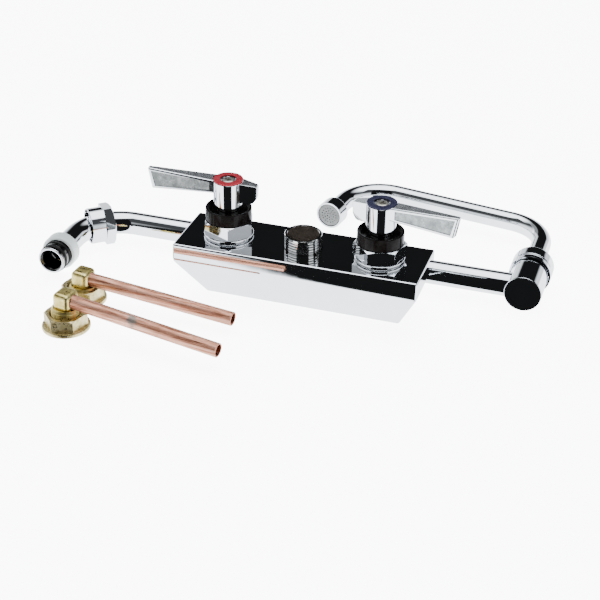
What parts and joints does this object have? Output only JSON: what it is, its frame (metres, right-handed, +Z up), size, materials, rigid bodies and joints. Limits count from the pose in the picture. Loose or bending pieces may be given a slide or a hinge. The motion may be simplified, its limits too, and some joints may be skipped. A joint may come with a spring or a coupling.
{
  "type": "pre rinse faucet",
  "caption": "Splash-mount kitchen faucet kit: two-valve chrome body with lever handles, a jointed swing spout and two brass-and-copper supply inlets.",
  "frame": {"origin": "on the base, midway between the two valve axes", "axes": "+X along the body from hot to cold, +Y to the wall side, +Z up"},
  "size_m": [0.3347, 0.2541, 0.0872],
  "materials": {
    "chrome": "bright polished plating",
    "brass": "plain machined brass",
    "copper": "drawn copper tube, lightly tarnished",
    "black_plastic": "glossy black",
    "nitrile": "moulded nitrile",
    "nylon": "natural white nylon",
    "ceramic": "lapped white ceramic",
    "steel": "stainless steel",
    "red": "glossy red",
    "blue": "glossy dark blue",
    "grey_plastic": "grey moulded plastic"
  },
  "bodies": {
    "faucet_body": {"body_casting": "chrome", "outlet_nipple": "chrome", "hot_valve_washer": "chrome", "hot_bonnet": "chrome", "hot_cartridge": "brass", "hot_seat_seal": "nitrile", "hot_fixed_disc": "ceramic", "hot_trim_ring": "black_plastic", "cold_valve_washer": "chrome", "cold_bonnet": "chrome", "cold_cartridge": "brass", "cold_seat_seal": "nitrile", "cold_fixed_disc": "ceramic", "cold_trim_ring": "black_plastic"},
    "hot_handle": {"hot_stem": "brass", "hot_stem_ring": "nitrile", "hot_moving_disc": "ceramic", "hot_lever": "chrome", "hot_index_ring": "red", "hot_handle_screw": "steel"},
    "cold_handle": {"cold_stem": "brass", "cold_stem_ring": "nitrile", "cold_moving_disc": "ceramic", "cold_lever": "chrome", "cold_index_ring": "blue", "cold_handle_screw": "steel"},
    "spout": {"arm1_tube": "chrome", "tail_sleeve": "chrome", "tail_ring_outer": "nitrile", "tail_ring_inner": "nitrile", "tail_bushing": "nylon", "joint_body": "chrome", "joint_cap": "chrome", "joint_nut": "chrome"},
    "tail_nut": {"tail_nut": "chrome"},
    "swing_arm": {"swing_stub": "chrome", "joint_ring": "nitrile", "joint_washer": "nylon", "arm2_tube": "chrome", "aerator_housing": "chrome", "aerator_washer": "nitrile", "aerator_insert": "grey_plastic"},
    "front_supply": {"front_elbow": "brass", "front_supply_tube": "copper"},
    "front_flange_nut": {"front_flange_nut": "brass"},
    "rear_supply": {"rear_elbow": "brass", "rear_supply_tube": "copper"},
    "rear_flange_nut": {"rear_flange_nut": "brass"}
  },
  "joints": [
    {"name": "hot_handle_turn", "type": "hinge", "parent": "faucet_body", "child": "hot_handle", "pos_m": [-0.0508, 0, 0.0436], "axis": [0, 0, 1], "range_deg": [-6.2, 83.8]},
    {"name": "cold_handle_turn", "type": "hinge", "parent": "faucet_body", "child": "cold_handle", "pos_m": [0.0508, 0, 0.0436], "axis": [0, 0, 1], "range_deg": [-77.7, 12.3]},
    {"name": "spout_lift", "type": "slide", "parent": "faucet_body", "child": "spout", "axis": [0, 0, 1], "range_m": [0, 0.15]},
    {"name": "tail_nut_spin", "type": "hinge", "parent": "spout", "child": "tail_nut", "pos_m": [-0.15907, 0.03941, 0.014], "axis": [-0.766, -0.6428, 0], "continuous": true},
    {"name": "arm_swing", "type": "hinge", "parent": "spout", "child": "swing_arm", "pos_m": [0.1382, 0.0369, 0.014], "axis": [0, 1, 0], "continuous": true},
    {"name": "front_supply_lift", "type": "slide", "parent": "faucet_body", "child": "front_supply", "axis": [0, 0, 1], "range_m": [0, 0.15]},
    {"name": "front_nut_spin", "type": "hinge", "parent": "front_supply", "child": "front_flange_nut", "pos_m": [-0.1348, -0.0744, 0], "axis": [0, 0, 1], "continuous": true},
    {"name": "rear_supply_lift", "type": "slide", "parent": "faucet_body", "child": "rear_supply", "axis": [0, 0, 1], "range_m": [0, 0.15]},
    {"name": "rear_nut_spin", "type": "hinge", "parent": "rear_supply", "child": "rear_flange_nut", "pos_m": [-0.1395, -0.039, 0], "axis": [0, 0, 1], "continuous": true}
  ]
}
